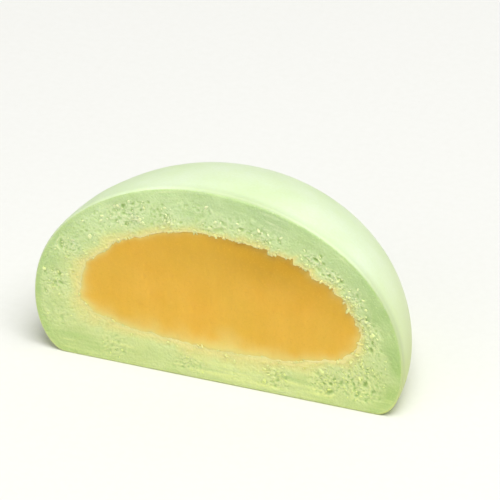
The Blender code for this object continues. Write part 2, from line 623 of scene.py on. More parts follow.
@dataclass(frozen=True)
class SmoothNoise:
    """Noise that changes smoothly from cell to cell. Its layers are shares of its swing and its cells."""

    swing: float
    cell: float | tuple[float, float]
    seed: int
    layers: tuple[float, ...] = (1.0,)

    def at(self, across: np.ndarray, upward: np.ndarray) -> np.ndarray:
        """The noise at each point.

        Args:
            across: the first coordinates, in millimetres where the first cell size is.
            upward: the second coordinates, in millimetres or degrees as the second cell size is.

        Returns:
            The noise, about -swing to swing.
        """
        table = np.random.default_rng(self.seed).uniform(-1.0, 1.0, (NOISE_SIDE, NOISE_SIDE))
        wide, high = np.broadcast_to(self.cell, 2)
        total = np.zeros(np.shape(across))
        for share in self.layers:
            x, z = across / (wide * share), upward / (high * share)
            turned = x * NOISE_TURN[0] + z * NOISE_TURN[1], z * NOISE_TURN[0] - x * NOISE_TURN[1]
            columns, rows = (np.floor(axis) + Ramp(0.0, 1.0).at(axis - np.floor(axis)) for axis in turned)
            total = total + self.swing * share * read_grid(table, columns, rows)
        return total


def spread_evenly(points: np.ndarray, steps: int) -> np.ndarray:
    """A polyline as equal steps along its length.

    Args:
        points: the polyline, one point a row.
        steps: how many steps.

    Returns:
        steps + 1 points with both ends kept.
    """
    lengths = np.concatenate(([0.0], np.cumsum(np.linalg.norm(np.diff(points, axis=0), axis=1))))
    wanted = np.linspace(0.0, lengths[-1], steps + 1)
    return np.column_stack([np.interp(wanted, lengths, axis) for axis in points.T])


def quarter_curve(half_width: float, half_height: float, power: float, steps: int = 400) -> np.ndarray:
    """A quarter of a superellipse.

    Args:
        half_width: how far it reaches across.
        half_height: how far it reaches up.
        power: 2 is an ellipse, and more is squarer.
        steps: how many steps it has.

    Returns:
        (across, up) points from its widest point to its top.
    """
    angles = np.linspace(0.0, math.pi / 2, steps + 1)
    across = half_width * np.clip(np.cos(angles), 0.0, 1.0) ** (2 / power)
    return np.column_stack([across, half_height * np.sin(angles) ** (2 / power)])


def slice_depths(radius: float, nearest: float, count: int) -> list[float]:
    """How far behind the cut each slice of a round form stands, nearest first, evenly round its curve."""
    turns = np.linspace(math.asin(nearest / radius), math.pi / 2, count + 1)[:-1]
    return [radius * math.sin(turn) for turn in turns]


@dataclass(frozen=True)
class Mesher:
    """How finely the loops round the cut are divided. A loop starts at mid floor and goes right."""

    floor_steps: int = 62
    crown_steps: int = 80

    def half(self, fine: int) -> int:
        """The number of steps on one side of a loop that is fine times as dense."""
        return fine * (self.floor_steps + self.crown_steps)

    def loop(self, below: np.ndarray, above: np.ndarray, fine: int) -> np.ndarray:
        """A closed loop from one side's outline and its mirror image.

        Args:
            below: (across, up) points from the bottom to the widest point.
            above: (across, up) points from the widest point to the top.
            fine: how many times as dense as the coarse loop.

        Returns:
            (across, up) points round the loop, its left side with a negative across.
        """
        floor = spread_evenly(below, fine * self.floor_steps)
        crown = spread_evenly(above, fine * self.crown_steps)
        right = np.vstack([floor, crown[1:]])
        return np.vstack([right, right[-2:0:-1] * (-1.0, 1.0)])

    def shares(self, fine: int) -> np.ndarray:
        """How far up its side each point of a loop is, 0 at the floor's middle and 1 at the top."""
        right = np.linspace(0.0, 1.0, self.half(fine) + 1)
        return np.concatenate([right, right[-2:0:-1]])


@dataclass(frozen=True)
class TurnedForm:
    """A round form, turned about the upright axis and then cut through that axis."""

    below: np.ndarray
    above: np.ndarray
    mesher: Mesher

    def slice_at(self, behind: float, fine: int) -> np.ndarray:
        """The outline where an upright plane behind the cut crosses the form.

        Args:
            behind: the plane's distance behind the axis.
            fine: how many times as dense as the coarse loop.

        Returns:
            (across, up) points round the outline.
        """
        halves = []
        for part in (self.below, self.above[::-1]):
            # From the axis outward. The first point is where the plane leaves the form.
            radii, heights = part.T
            kept = radii > behind
            reach = np.sqrt(np.maximum(radii[kept] ** 2 - behind**2, 0.0))
            first = (0.0, np.interp(behind, radii, heights))
            halves.append(np.vstack([first, np.column_stack([reach, heights[kept]])]))
        return self.mesher.loop(halves[0], halves[1][::-1], fine)


@dataclass(frozen=True)
class Side:
    """A side of the cut as seen from the filling's middle, in degrees: 0 is right and 90 is up."""

    middle: float
    spread: float


@dataclass(frozen=True)
class BunShape:
    """The bun's and the filling's sizes, and how a hand-rolled bun departs from a turned one.

    A pair of powers says how square a form's lower edge and its dome are.
    """

    radius: float = 37.5
    height: float = 42.0
    widest_height: float = 11.2
    base_radius: float = 31.8
    powers: tuple[float, float] = (2.0, 2.04)
    depth_share: float = 0.95
    filling_radius: float = 28.4
    filling_bottom: float = 8.0
    filling_widest_height: float = 16.0
    filling_top: float = 32.2
    filling_powers: tuple[float, float] = (3.0, 2.0)
    filling_offset: float = 0.5
    lobes: int = 3
    lobe_share: float = 0.006
    lobe_turn: float = 1.1
    lean: float = 0.6
    slope_share: float = 0.012
    mesher: Mesher = Mesher()

    def turned(
        self, flat: float, radius: float, heights: tuple[float, float, float], powers: tuple[float, float]
    ) -> TurnedForm:
        """A round form with a flat floor, a rounded lower edge and a dome.

        Args:
            flat: the radius of its flat floor.
            radius: its widest radius.
            heights: the heights of its floor, its widest ring and its top.
            powers: how square its lower edge and its dome are.

        Returns:
            The turned form.
        """
        bottom, widest, top = heights
        edge = quarter_curve(radius - flat, widest - bottom, powers[0])[::-1]
        below = np.column_stack([flat + edge[:, 0], widest - edge[:, 1]])
        above = quarter_curve(radius, top - widest, powers[1]) + (0.0, widest)
        return TurnedForm(np.vstack([(0.0, bottom), below]), above, self.mesher)

    def bun(self) -> TurnedForm:
        """The whole bun."""
        heights = (0.0, self.widest_height, self.height)
        return self.turned(self.base_radius, self.radius, heights, self.powers)

    def filling(self, grow: float) -> TurnedForm:
        """The filling, grown on every side, as for its pocket in the dough."""
        heights = (self.filling_bottom - grow, self.filling_widest_height, self.filling_top + grow)
        return self.turned(0.0, self.filling_radius + grow, heights, self.filling_powers)

    def bearing(self, x: np.ndarray, z: np.ndarray) -> np.ndarray:
        """Each point's direction from the filling's middle, in degrees: 0 is right and 90 is up."""
        return np.degrees(np.arctan2(z - self.filling_widest_height, x - self.filling_offset))

    def toward(self, side: Side, x: np.ndarray, z: np.ndarray) -> np.ndarray:
        """How near points are to one side: 1 in its direction, about a third at its spread from there."""
        gap = (self.bearing(x, z) - side.middle + 180.0) % 360.0 - 180.0
        return np.exp(-((gap / side.spread) ** 2))

    def hand_shaped(self, points: np.ndarray) -> np.ndarray:
        """Moves points as a hand-rolled bun departs from a turned one. The base and the cut stay flat.

        Args:
            points: x, y behind the cut, and z, one point a row.

        Returns:
            The moved points.
        """
        x, y, z = points.T
        swell = 1 + self.lobe_share * np.cos(self.lobes * np.arctan2(y, x) + self.lobe_turn)
        lean = self.lean * np.sin(math.pi * z / self.height)
        slope = 1 - self.slope_share * np.sin(math.pi / 2 * x / self.radius)
        return np.column_stack([x * swell - lean, y * swell * self.depth_share, z * slope])

    def placed_slice(self, form: TurnedForm, behind: float, fine: int, offset: float = 0.0) -> np.ndarray:
        """A hand-shaped slice of a turned form, so far behind the cut, and so far along it from the axis."""
        across, up = form.slice_at(behind, fine).T
        return self.hand_shaped(np.column_stack([across + offset, np.full(len(up), behind), up]))

    def tip(self, form: TurnedForm, offset: float = 0.0) -> np.ndarray:
        """The furthest point of a turned form behind the cut, hand-shaped, as a loop of one point."""
        radius, height = form.below[-1]
        return self.hand_shaped(np.array([[offset, radius, height]]))


def running_mean(values: np.ndarray, half: int) -> np.ndarray:
    """The mean of a grid over a square round each of its cells.

    Args:
        values: the grid.
        half: how many cells the square reaches to each side.

    Returns:
        The means, on the same grid.
    """
    width = 2 * half + 1
    # Each pass takes the mean down the columns and turns the grid over, so that two passes cover both ways.
    for _ in range(2):
        total = np.cumsum(np.pad(values, ((half + 1, half), (0, 0)), mode="edge"), axis=0)
        values = ((total[width:] - total[:-width]) / width).T
    return values


@dataclass(frozen=True)
class PoreKind:
    """One size of gas cell or tear in the crumb: how far apart, how wide, how deep and how long it is."""

    pitch_mm: float
    smallest_mm: float
    largest_mm: float
    depth_share: float
    longest_share: float
    turn_spread: float
    patchiness: float


@dataclass
class CrumbRelief:
    """How deep the opened crumb lies behind the knife's plane, as a fine grid of depths over the cut."""

    shape: BunShape
    pitch: float = 0.06
    margin: float = 1.5
    mean_reach: float = 0.8
    # The pores' outlines are bent out of round, along X and along Z.
    bends: tuple[SmoothNoise, ...] = (
        SmoothNoise(0.16, 0.9, 17, layers=(1.0, 0.4)),
        SmoothNoise(0.16, 0.9, 18, layers=(1.0, 0.4)),
    )
    seed: int = 7
    kinds: tuple[PoreKind, ...] = (
        PoreKind(0.52, 0.13, 0.26, 0.85, 1.5, 0.7, 0.50),
        PoreKind(1.05, 0.22, 0.44, 0.66, 1.9, 0.6, 0.93),
        PoreKind(2.80, 0.40, 0.72, 0.55, 2.2, 0.5, 1.0),
        PoreKind(4.20, 0.09, 0.15, 1.20, 16.0, 0.25, 0.40),
    )
    small_power: float = 1.6
    # Where the crumb is coarser: x, z, reach and strength of each patch.
    patches: tuple[tuple[float, float, float, float], ...] = (
        (-30.5, 24.0, 3.5, 0.75),
        (-33.5, 16.5, 3.5, 0.75),
        (-18.5, 33.5, 6.5, 0.75),
        (-10.5, 34.8, 4.5, 0.7),
        (-2.0, 34.0, 4.0, 0.7),
        (8.0, 34.0, 4.0, 0.7),
        (20.5, 32.5, 4.5, 0.95),
        (24.0, 29.0, 3.8, 0.9),
        (27.3, 24.0, 3.4, 0.9),
        (29.3, 19.5, 3.2, 0.9),
        (30.8, 15.0, 3.6, 0.9),
        (34.5, 18.5, 2.0, 1.0),
        (28.5, 6.5, 6.5, 1.1),
        (21.5, 5.0, 4.5, 1.1),
        (11.5, 4.0, 4.0, 1.0),
        (-6.0, 3.2, 4.5, 0.8),
        (-21.5, 3.5, 4.5, 0.7),
    )
    patch_peak: float = 1.15
    even_coarseness: float = 0.16
    coarse_swing: SmoothNoise = SmoothNoise(0.22, 5.0, 8)
    shallow: float = 0.5
    low: np.ndarray = field(init=False)
    depths: np.ndarray = field(init=False)
    means: np.ndarray = field(init=False)

    def __post_init__(self) -> None:
        """Carves every pore."""
        reach = self.shape.radius + self.margin
        self.low = np.array([-reach, -self.margin])
        size = np.array([2 * reach, self.shape.height + 2 * self.margin])
        columns, rows = (size / self.pitch).astype(int) + 1
        self.depths = np.zeros((rows, columns))
        draw = np.random.default_rng(self.seed)
        for kind in self.kinds:
            self.carve_kind(kind, size, draw)
        self.means = running_mean(self.depths, round(self.mean_reach / self.pitch))

    def coarseness(self, x: np.ndarray, z: np.ndarray) -> np.ndarray:
        """How coarse the crumb is at each point, 0 to 1.

        Args:
            x: across, in millimetres.
            z: up, in millimetres.

        Returns:
            The coarseness.
        """
        coarse = self.even_coarseness + self.coarse_swing.at(x, z)
        for patch_x, patch_z, patch_reach, strength in self.patches:
            gap = np.hypot(x - patch_x, z - patch_z) / patch_reach
            coarse = np.maximum(coarse, strength * (self.patch_peak - gap))
        return np.clip(coarse, 0.0, 1.0)

    def carve_kind(self, kind: PoreKind, size: np.ndarray, draw: np.random.Generator) -> None:
        """Carves the pores of one size.

        Args:
            kind: the size of pore.
            size: the width and height of the grid.
            draw: the source of random numbers.
        """
        steps = [np.arange(0.0, side, kind.pitch_mm) for side in size]
        centres = np.stack(np.meshgrid(*steps), axis=-1).reshape(-1, 2)
        centres = self.low + centres + draw.uniform(0.0, 1.0, centres.shape) * kind.pitch_mm
        count = len(centres)
        largeness = draw.uniform(0.0, 1.0, count) ** self.small_power
        sizes = kind.smallest_mm + (kind.largest_mm - kind.smallest_mm) * largeness
        turns = draw.normal(0.0, kind.turn_spread, count)
        lengths = draw.uniform(1.0, kind.longest_share, count)
        chances = draw.uniform(0.0, 1.0, count)
        coarse = self.coarseness(*centres.T)
        deep = kind.depth_share * (self.shallow + (1 - self.shallow) * coarse)
        for index in np.flatnonzero(chances < 1 - kind.patchiness * (1 - coarse)):
            self.carve(centres[index], sizes[index], lengths[index], turns[index], deep[index])

    def carve(
        self, centre: np.ndarray, radius: float, length: float, turn: float, depth_share: float
    ) -> None:
        """Carves one pore, a bowl that is longest along the skin.

        Args:
            centre: its x and z.
            radius: its half width.
            length: its length over its width.
            turn: how far it lies off the skin's direction, in radians.
            depth_share: its depth over its half width.
        """
        bearing = math.atan2(centre[1] - self.shape.filling_widest_height, centre[0])
        along = bearing + math.pi / 2 + turn
        reach = radius * length
        first = np.maximum(((centre - reach - self.low) / self.pitch).astype(int), 0)
        last = ((centre + reach - self.low) / self.pitch).astype(int) + 2
        window = self.depths[first[1] : last[1], first[0] : last[0]]
        rows, columns = np.mgrid[0 : window.shape[0], 0 : window.shape[1]]
        x = (columns + first[0]) * self.pitch + self.low[0] - centre[0]
        z = (rows + first[1]) * self.pitch + self.low[1] - centre[1]
        lengthwise = (x * math.cos(along) + z * math.sin(along)) / reach
        crosswise = (z * math.cos(along) - x * math.sin(along)) / radius
        bowl = np.sqrt(np.maximum(1 - lengthwise**2 - crosswise**2, 0.0))
        np.maximum(window, bowl * radius * depth_share, out=window)

    def read(self, x: np.ndarray, z: np.ndarray) -> tuple[np.ndarray, np.ndarray]:
        """The depth at each point, with the pores' outlines bent.

        Args:
            x: across, in millimetres.
            z: up, in millimetres.

        Returns:
            The depths, and the mean depth round about, in millimetres.
        """
        columns, rows = (
            np.clip((axis + bend.at(x, z) - low) / self.pitch, 0, count - 2)
            for axis, bend, low, count in zip((x, z), self.bends, self.low, self.depths.shape[::-1])
        )
        return read_grid(self.depths, columns, rows), read_grid(self.means, columns, rows)


@dataclass
class Seam:
    """The torn line between dough and paste in the cut, as a stray outward from the pocket's outline."""

    shape: BunShape
    # Waves up each side, as how many and their share, with the left side's turned against the right's.
    stray: float = 0.35
    waves: tuple[tuple[float, float], ...] = ((7.0, 0.6), (16.0, 0.4))
    side_turn: float = 2.3
    nibbles: tuple[SmoothNoise, ...] = (SmoothNoise(0.18, 1.1, 21), SmoothNoise(0.09, 1.1 / 2.7, 22))
    # The steps where the blade tore the crumb: their height, length and start, and the share that drops.
    step: float = 1.25
    step_mm: float = 4.1
    step_phase: float = 0.4
    step_drop: float = 0.15
    step_swing: SmoothNoise = SmoothNoise(0.4, 4.0, 23)
    torn_side: Side = Side(46.0, 23.0)
    soft_sides: tuple[Side, ...] = (Side(-80.0, 68.0), Side(-168.0, 38.0))
    proud_side: Side = Side(62.0, 60.0)
    # Where the paste falls short of its round outline, and how far.
    dips: tuple[tuple[Side, float], ...] = (
        (Side(163.0, 18.0), 0.9),
        (Side(-13.0, 13.0), 1.1),
        (Side(135.0, 12.0), 0.5),
    )

    def offsets(self, loop: np.ndarray, fine: int) -> np.ndarray:
        """How far the seam strays outward at each point of a loop.

        Args:
            loop: the pocket's loop, x and z.
            fine: how many times as dense as the coarse loop it is.

        Returns:
            The offsets, in millimetres.
        """
        x, z = loop.T
        shares = self.shape.mesher.shares(fine)
        turn = np.where(np.arange(len(loop)) > self.shape.mesher.half(fine), self.side_turn, 0.0)
        wave = sum(size * np.sin(2 * math.pi * n * shares + turn * n) for n, size in self.waves)
        offset = self.stray * wave * np.sin(math.pi * shares)
        offset += sum(nibble.at(x, z) for nibble in self.nibbles)
        offset -= sum(dip * self.shape.toward(side, x, z) for side, dip in self.dips)
        # Each step runs nearly level and then drops at once.
        along = x / self.step_mm + self.step_phase + self.step_swing.at(x, z)
        share = along - np.floor(along)
        level = 1 - self.step_drop
        stepped = np.where(share < level, share / level - 0.5, 0.5 - Ramp(level, 1.0).at(share))
        return offset + self.step * self.shape.toward(self.torn_side, x, z) * stepped

    def softness(self, x: np.ndarray, z: np.ndarray) -> np.ndarray:
        """How softly the paste runs into the crumb, 0 to 1: most at the bottom and the left."""
        return np.maximum.reduce([self.shape.toward(side, x, z) for side in self.soft_sides])

    def proudness(self, x: np.ndarray, z: np.ndarray) -> np.ndarray:
        """How far the dough's edge stands over the paste, 0 to 1: most at the upper right."""
        return self.shape.toward(self.proud_side, x, z)


def outward(loop: np.ndarray, reach: int = 2) -> np.ndarray:
    """The unit directions that point out of a loop that goes floor, right, top, left.

    Args:
        loop: x and z of each point.
        reach: how many points ahead and behind the loop's own direction is taken from.

    Returns:
        x and z of each direction.
    """
    along = np.roll(loop, -reach, axis=0) - np.roll(loop, reach, axis=0)
    along /= np.linalg.norm(along, axis=1, keepdims=True)
    return np.column_stack([along[:, 1], -along[:, 0]])


def edge_round(distance: np.ndarray, radius: np.ndarray | float) -> np.ndarray:
    """How far an edge of that radius turns back, at each distance from it."""
    left = np.clip(radius - distance, 0.0, radius)
    return radius - np.sqrt(np.maximum(radius**2 - left**2, 0.0))


# --------------------------------------------------------------------------------------------------------
# Meshes
# --------------------------------------------------------------------------------------------------------


@dataclass
class LoopMesh:
    """A mesh built loop by loop. Of two loops in a row, one has a whole number of times as many points."""

    points: list[np.ndarray] = field(default_factory=list)
    faces: list[tuple[int, ...]] = field(default_factory=list)
    face_kinds: list[int] = field(default_factory=list)
    spreads: dict[Spread, list[np.ndarray]] = field(default_factory=dict)
    last_start: int = 0
    last_count: int = 0
    total: int = 0

    def add_points(self, points: np.ndarray, values: dict[Spread, np.ndarray | float]) -> None:
        """Adds points that belong to no loop yet.

        Args:
            points: x, y and z of each point, in millimetres.
            values: what each point carries.
        """
        self.points.append(points)
        for name, value in values.items():
            self.spreads.setdefault(name, []).append(np.broadcast_to(value, len(points)))
        self.total += len(points)

    def add_faces(self, faces: list[tuple[int, ...]], kind: int = 0) -> None:
        """Adds faces, all of one material slot."""
        self.faces += faces
        self.face_kinds += [kind] * len(faces)

    def add(self, loop: np.ndarray, kind: int, values: dict[Spread, np.ndarray | float]) -> None:
        """Adds a loop and the faces that join it to the one before.

        Args:
            loop: x, y and z of each point, in millimetres.
            kind: the material slot of those faces.
            values: what each point carries.
        """
        start, count = self.total, len(loop)
        self.add_points(loop, values)
        if self.last_count:
            self.add_faces(self.joined(start, count), kind)
        self.last_start, self.last_count = start, count

    def joined(self, start: int, count: int) -> list[tuple[int, ...]]:
        """The faces between the last loop and the one at start, which has count points.

        Args:
            start: the new loop's first point.
            count: how many points it has.

        Returns:
            The faces, round the loop.
        """
        made: list[tuple[int, ...]] = []
        dense, dense_start = max((self.last_count, self.last_start), (count, start))
        thin, thin_start = min((self.last_count, self.last_start), (count, start))
        ratio = dense // thin
        for index in range(dense):
            here, there = dense_start + index, dense_start + (index + 1) % dense
            near = thin_start + ((index + ratio // 2) // ratio) % thin
            beyond = thin_start + ((index + 1 + ratio // 2) // ratio) % thin
            face = (here, there, near) if near == beyond else (here, there, beyond, near)
            made.append(face[::-1] if dense_start == start else face)
        return made

    def build(self, name: str, place: Vector) -> bpy.types.Object:
        """Makes the object.

        Args:
            name: the object's name.
            place: what is added to every point, in metres.

        Returns:
            The object, smooth and linked to the scene.
        """
        points = np.vstack(self.points) * MM + np.array(place)
        mesh = bpy.data.meshes.new(name)
        mesh.from_pydata(points.tolist(), [], self.faces)
        mesh.polygons.foreach_set("material_index", np.array(self.face_kinds, dtype=np.int32))
        for spread, parts in self.spreads.items():
            values = mesh.attributes.new(spread.value, "FLOAT", "POINT")
            values.data.foreach_set("value", np.concatenate(parts).astype(np.float32))
        mesh.update()
        if enclosed_volume(mesh) < 0:
            mesh.flip_normals()
        mesh.shade_smooth()
        made = bpy.data.objects.new(name, mesh)
        bpy.context.scene.collection.objects.link(made)
        return made


def enclosed_volume(mesh: bpy.types.Mesh) -> float:
    """The volume inside a closed mesh, below zero if its faces point in.

    Args:
        mesh: the mesh.

    Returns:
        The volume in cubic metres.
    """
    mesh.calc_loop_triangles()
    corners = np.zeros(len(mesh.loop_triangles) * 3, dtype=np.int32)
    mesh.loop_triangles.foreach_get("vertices", corners)
    points = np.zeros(len(mesh.vertices) * 3, dtype=np.float32)
    mesh.vertices.foreach_get("co", points)
    first, second, third = points.reshape(-1, 3)[corners.reshape(-1, 3)].transpose(1, 0, 2)
    return float(np.einsum("ij,ij->i", first, np.cross(second, third)).sum() / 6)


def cad_place(mesh: LoopMesh) -> Vector:
    """Where a dough mesh goes: its box centred on the CAD dough's, and its cut at that one's front.

    Args:
        mesh: the mesh, in millimetres.

    Returns:
        What is added to every point, in metres.
    """
    across = np.vstack(mesh.points)[:, 0] * MM
    low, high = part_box(DOUGH_NODE)
    return Vector(((low.x + high.x) / 2 - (across.min() + across.max()) / 2, low.y, low.z))


@dataclass
class Dough:
    """The steamed dough: skin, knife-cut crumb and the pocket for the paste, as one closed mesh.

    A row is one loop of points. Rows at the cut are fine times as dense as the ones behind it.
    """

    shape: BunShape
    relief: CrumbRelief
    seam: Seam
    skin: SteamedSkin = SteamedSkin()
    crumb: OpenCrumb = OpenCrumb()
    underside: PaperedUnderside = PaperedUnderside()
    fine: int = 4
    place: Vector = field(init=False)

    # The skin: its rows, its shallow waves, and how far up its base counts as flat.
    skin_rows: int = 42
    skin_start: float = 4.16
    rim_rows: tuple[float, ...] = (2.6, 1.9, 1.4, 1.05)
    surface_wave: SmoothNoise = SmoothNoise(0.10, 13.0, 31)
    wave_slant: tuple[float, float] = (1.7, -0.6)
    wave_rise: Ramp = Ramp(0.2, 5.0)
    flat: float = 0.02

    # The edges: how far they are rounded at the skin, where the blade dragged them, and at the seam.
    rim_radius: float = 0.40
    dragged_rim_radius: float = 0.42
    seam_radius: float = 0.05
    proud_radius: float = 0.18

    # The cut: its rows, the blade's wandering, grain and grooves, and how near the seam its pores start.
    crumb_rows: int = 60
    skin_edge_rows: int = 3
    row_easing: float = 0.06
    cut_wave: SmoothNoise = SmoothNoise(0.13, 6.0, 32)
    grain: SmoothNoise = SmoothNoise(0.04, 0.5, 33, layers=(1.0, 0.45))
    grooves: SmoothNoise = SmoothNoise(0.035, (0.3, 9.0), 36)
    uneven_from: Ramp = Ramp(0.0, 1.2)
    proudest: float = 0.05
    pores_from: float = 0.6
    soft_pores_from: float = 1.6
    cavity: float = 0.30

    # The band under the skin whose pores the blade closed, wide at the top and the right, and its smears.
    band: float = 1.3
    top_band: float = 2.9
    right_band: float = 2.4
    top_side: Side = Side(74.0, 42.0)
    right_side: Side = Side(8.0, 34.0)
    left_side: Side = Side(176.0, 44.0)
    band_swing: SmoothNoise = SmoothNoise(0.3, 3.0, 35)
    band_outer: float = 1.25
    band_blur: float = 0.3
    band_inner: float = 0.75
    band_in_coarse: Ramp = Ramp(1.1, 0.8)
    sealed: Ramp = Ramp(0.9, 0.3)
    smear: float = 0.6
    smear_patches: SmoothNoise = SmoothNoise(1.0, 2.6, 37)
    smear_shown: Ramp = Ramp(0.05, 0.6)
    smear_in_coarse: Ramp = Ramp(0.6, 0.2)

    # The foot of the cut, where the blade came to rest against the board.
    base: Ramp = Ramp(8.0, 4.0)
    base_closed: float = 0.6

    # The deeper green of that band, by side, with painted shade at the left and the right, and how it fades
    # into the skin, partly as painted shade over the rim's highlight.
    closed_tint: float = 0.5
    skin_tint: float = 0.5
    plain_tint: float = 0.15
    top_tint: float = 0.8
    left_painted_shade: float = 0.65
    tint_swing: SmoothNoise = SmoothNoise(0.4, 2.6, 45)
    skin_fade: float = 0.42
    edge_fade: float = 0.85

    # The blade's streaks. Their cells are millimetres from the skin by degrees round it, or across by up.
    streak: float = 0.68
    streak_lines: tuple[SmoothNoise, ...] = (
        SmoothNoise(0.6, (0.30, 9.0), 39),
        SmoothNoise(0.9, (0.9, 15.0), 44),
    )
    base_lines: SmoothNoise = SmoothNoise(1.0, (7.0, 0.45), 43)
    plain_streak: float = 0.35
    base_streak: float = 1.5
    streak_patches: SmoothNoise = SmoothNoise(1.0, 4.5, 40)
    streak_shown: Ramp = Ramp(-0.5, 0.4)
    streak_from: Ramp = Ramp(0.3, 0.9)

    # How far the paste soaks into the crumb, a little more and a little paler where it is soft.
    soak: float = 1.2
    soft_soak: float = 2.2
    soak_swing: SmoothNoise = SmoothNoise(0.4, 2.1, 34)
    soak_power: float = 1.5
    soft_thinning: float = 0.2

    # The pocket: its gap round the filling, its rows, and how far back the torn edge shows in it.
    pocket_gap: float = 0.3
    pocket_rows: tuple[float, ...] = (0.4, 0.9, 1.6)
    pocket_torn: float = 2.2
    pocket_start: float = 2.8
    pocket_slices: int = 12

    # What the crumbs need to know of the cut, row by row.
    cut_rows: list[np.ndarray] = field(default_factory=list)
    stain_rows: list[np.ndarray] = field(default_factory=list)
    open_rows: list[np.ndarray] = field(default_factory=list)

    def build(self) -> bpy.types.Object:
        """Makes the dough.

        Returns:
            The object, dressed and riding on the bun's body.
        """
        mesh = LoopMesh()
        self.add_skin(mesh)
        self.add_crumb(mesh)
        self.add_pocket(mesh)
        self.place = cad_place(mesh)
        made = mesh.build("steamed_dough", self.place)
        for finish in (self.skin, self.crumb, self.underside):
            made.data.materials.append(finish.material())
        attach(made, BODY)
        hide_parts(DOUGH_NODE)
        return made

    def waved(self, points: np.ndarray) -> np.ndarray:
        """Gives skin points the shallow unevenness of rolled dough. The base stays flat.

        Args:
            points: the skin's points.

        Returns:
            The moved points.
        """
        x, y, z = points.T
        across, up = self.wave_slant
        wave = self.surface_wave.at(x + across * y, z + up * y) * self.wave_rise.at(z)
        direction = points - (0.0, 0.0, self.shape.widest_height)
        direction /= np.linalg.norm(direction, axis=1, keepdims=True)
        return points + direction * wave[:, None]

    def add_skin(self, mesh: LoopMesh) -> None:
        """Adds the skin, from its tip at the back to the knife's edge.

        Args:
            mesh: the mesh it goes into.
        """
        form = self.shape.bun()
        plain = {Spread.PORE: 0.0, Spread.STAIN: 0.0, Spread.BAND: 0.0, Spread.DRAG: EVEN}
        mesh.add(self.shape.tip(form), DoughFace.SKIN, plain)
        for behind in slice_depths(self.shape.radius, self.skin_start, self.skin_rows)[::-1]:
            self.add_skin_loop(mesh, self.shape.placed_slice(form, behind, 1), plain)
        # Toward the knife's edge the skin darkens: partly its thinner edge, partly painted shade over the
        # rim's highlight.
        fade = Ramp(self.rim_rows[0], self.rim_radius)
        for behind in self.rim_rows:
            loop = self.shape.placed_slice(form, behind, self.fine)
            band = self.skin_fade * fade.at(behind) * self.tinted(loop[:, 0], loop[:, 2])
            self.add_skin_loop(mesh, loop, plain | {Spread.BAND: band})

    def add_skin_loop(
        self, mesh: LoopMesh, loop: np.ndarray, values: dict[Spread, np.ndarray | float]
    ) -> None:
        """Adds one loop of skin, and marks the flat faces under it as the underside.

        Args:
            mesh: the mesh it goes into.
            loop: the loop's points.
            values: what each point carries.
        """
        before = len(mesh.faces)
        mesh.add(self.waved(loop), DoughFace.SKIN, values)
        heights = np.concatenate([part[:, 2] for part in mesh.points[-2:]])
        first = mesh.total - len(heights)
        for index in range(before, len(mesh.faces)):
            if all(heights[corner - first] < self.flat for corner in mesh.faces[index]):
                mesh.face_kinds[index] = DoughFace.UNDERSIDE

    def pocket_edge(self) -> np.ndarray:
        """The seam in the cut.

        Returns:
            x, y and z of each point.
        """
        form = self.shape.filling(self.pocket_gap)
        loop = self.shape.placed_slice(form, 0.0, self.fine, self.shape.filling_offset)[:, (0, 2)]
        torn = loop + outward(loop) * self.seam.offsets(loop, self.fine)[:, None]
        return np.column_stack([torn[:, 0], np.zeros(len(torn)), torn[:, 1]])

    def add_crumb(self, mesh: LoopMesh) -> None:
        """Adds the cut crumb, from the knife's edge to the seam.

        Args:
            mesh: the mesh it goes into.
        """
        rim = self.waved(self.shape.placed_slice(self.shape.bun(), 0.0, self.fine))
        edge = self.pocket_edge()
        thickness = np.linalg.norm(edge - rim, axis=1)
        for row in range(self.crumb_rows + 1):
            # Rows are closer together at both edges, where the surface turns.
            even = row / self.crumb_rows
            share = even - self.row_easing * math.sin(2 * math.pi * even)
            loop = rim + (edge - rim) * share
            x, z = loop[:, 0], loop[:, 2]
            from_skin, from_seam = thickness * share, thickness * (1 - share)
            closed = self.closed(x, z, from_skin)
            stain = self.stain(x, z, from_seam)
            pores, mean = self.relief.read(x, z)
            pores_from = self.pores_from + self.soft_pores_from * self.seam.softness(x, z)
            shown = Ramp(0.0, pores_from).at(from_seam) * (1 - closed)
            loop[:, 1] = self.cut_depth(x, z, from_skin, from_seam, closed) + pores * shown
            # How far each point lies below the crumb round it, from which the finish paints shade in the
            # pores and highlight on their walls.
            cavity = np.clip(EVEN + (pores - mean) / self.cavity, 0.0, 1.0)
            spreads = {
                Spread.PORE: EVEN + (cavity - EVEN) * shown,
                Spread.STAIN: stain,
                Spread.BAND: self.band_green(x, z, closed, share),
                Spread.DRAG: EVEN + EVEN * self.streaks(x, z, from_skin, closed),
            }
            # The first rows take the skin's finish, darkened as painted shade over the rim's highlight.
            on_edge = row <= self.skin_edge_rows
            if on_edge:
                fade = self.skin_fade + (self.edge_fade - self.skin_fade) * row / self.skin_edge_rows
                spreads[Spread.BAND] = fade * self.tinted(x, z)
            mesh.add(loop, DoughFace.SKIN if on_edge else DoughFace.CRUMB, spreads)
            self.cut_rows.append(loop)
            self.stain_rows.append(stain)
            self.open_rows.append(1 - closed)

    def dragged(self, x: np.ndarray, z: np.ndarray) -> np.ndarray:
        """How hard the blade dragged the dough along its skin, 0 to 1: most at the top."""
        return self.shape.toward(self.top_side, x, z)

    def pressed(self, x: np.ndarray, z: np.ndarray) -> np.ndarray:
        """How hard the blade pressed the dough together at the right, 0 to 1; the deeper green also uses it
        as painted shade.
        """
        return self.shape.toward(self.right_side, x, z)

    def tinted(self, x: np.ndarray, z: np.ndarray) -> np.ndarray:
        """How much deeper the green is under the skin, 0 to 1: denser crumb at the top, painted shade at the
        left and the right, and least along the base.
        """
